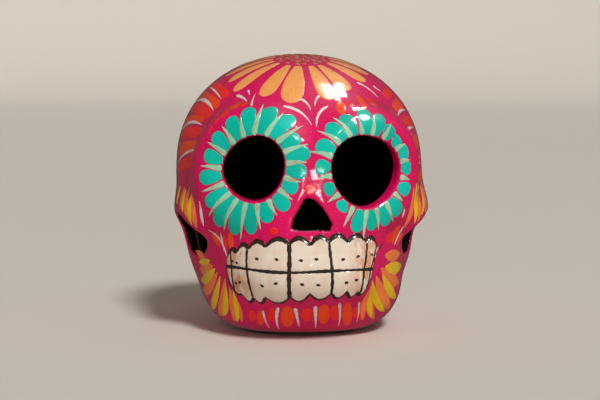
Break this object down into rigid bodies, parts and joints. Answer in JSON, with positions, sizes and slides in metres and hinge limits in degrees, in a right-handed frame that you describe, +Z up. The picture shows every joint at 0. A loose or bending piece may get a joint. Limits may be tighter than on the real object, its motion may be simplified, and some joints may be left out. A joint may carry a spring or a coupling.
{
  "type": "painted calavera skull ornament",
  "caption": "Hollow hand-painted papier-mache calavera skull with open eye sockets, nose and cheek gaps, relief teeth, and flower motifs in thin brushed paint; stands on a flat base.",
  "frame": {"origin": "middle of the flat base, on the table", "axes": "+Z up, -Y the way the face looks, +X towards the viewer's right when facing it"},
  "size_m": [0.1254, 0.138, 0.1359],
  "materials": {
    "magenta_lacquer": "deep pink gloss lacquer over paper pulp, black inside",
    "dark_pulp": "bare blackened paper, matt",
    "teal_paint": "teal brushed paint under gloss lacquer",
    "mint_paint": "thin mint brush strokes under gloss lacquer",
    "apricot_paint": "apricot brushed paint under gloss lacquer",
    "orange_paint": "orange and red brushed paint under gloss lacquer",
    "peach_paint": "peach and yellow feather strokes under gloss lacquer",
    "red_paint": "red dabs under gloss lacquer",
    "cream_paint": "off-white brushed paint under gloss lacquer",
    "line_paint": "brown-black drawn line",
    "olive_paint": "mustard dabs under gloss lacquer"
  },
  "bodies": {
    "root": {"face_shell": "magenta_lacquer", "back_shell": "magenta_lacquer", "seam_strip": "dark_pulp", "base_disc": "dark_pulp", "upper_teeth": "cream_paint", "lower_teeth": "cream_paint", "tooth_lines": "line_paint", "tooth_dots": "line_paint", "crown_dots": "olive_paint", "crown_petals": "apricot_paint", "forehead_strokes": "cream_paint", "brow_dots": "orange_paint", "left_eye_petals": "teal_paint", "left_eye_rays": "mint_paint", "right_eye_petals": "teal_paint", "right_eye_rays": "mint_paint", "left_temple_band": "orange_paint", "right_temple_band": "orange_paint", "temple_strokes": "cream_paint", "left_cheek_feathers": "peach_paint", "right_cheek_feathers": "peach_paint", "cheek_strokes": "orange_paint", "left_jaw_feathers": "peach_paint", "right_jaw_feathers": "peach_paint", "chin_beads": "orange_paint", "chin_strokes": "cream_paint", "nose_dots": "red_paint", "back_flower": "apricot_paint", "back_flower_eye": "olive_paint"}
  },
  "joints": []
}
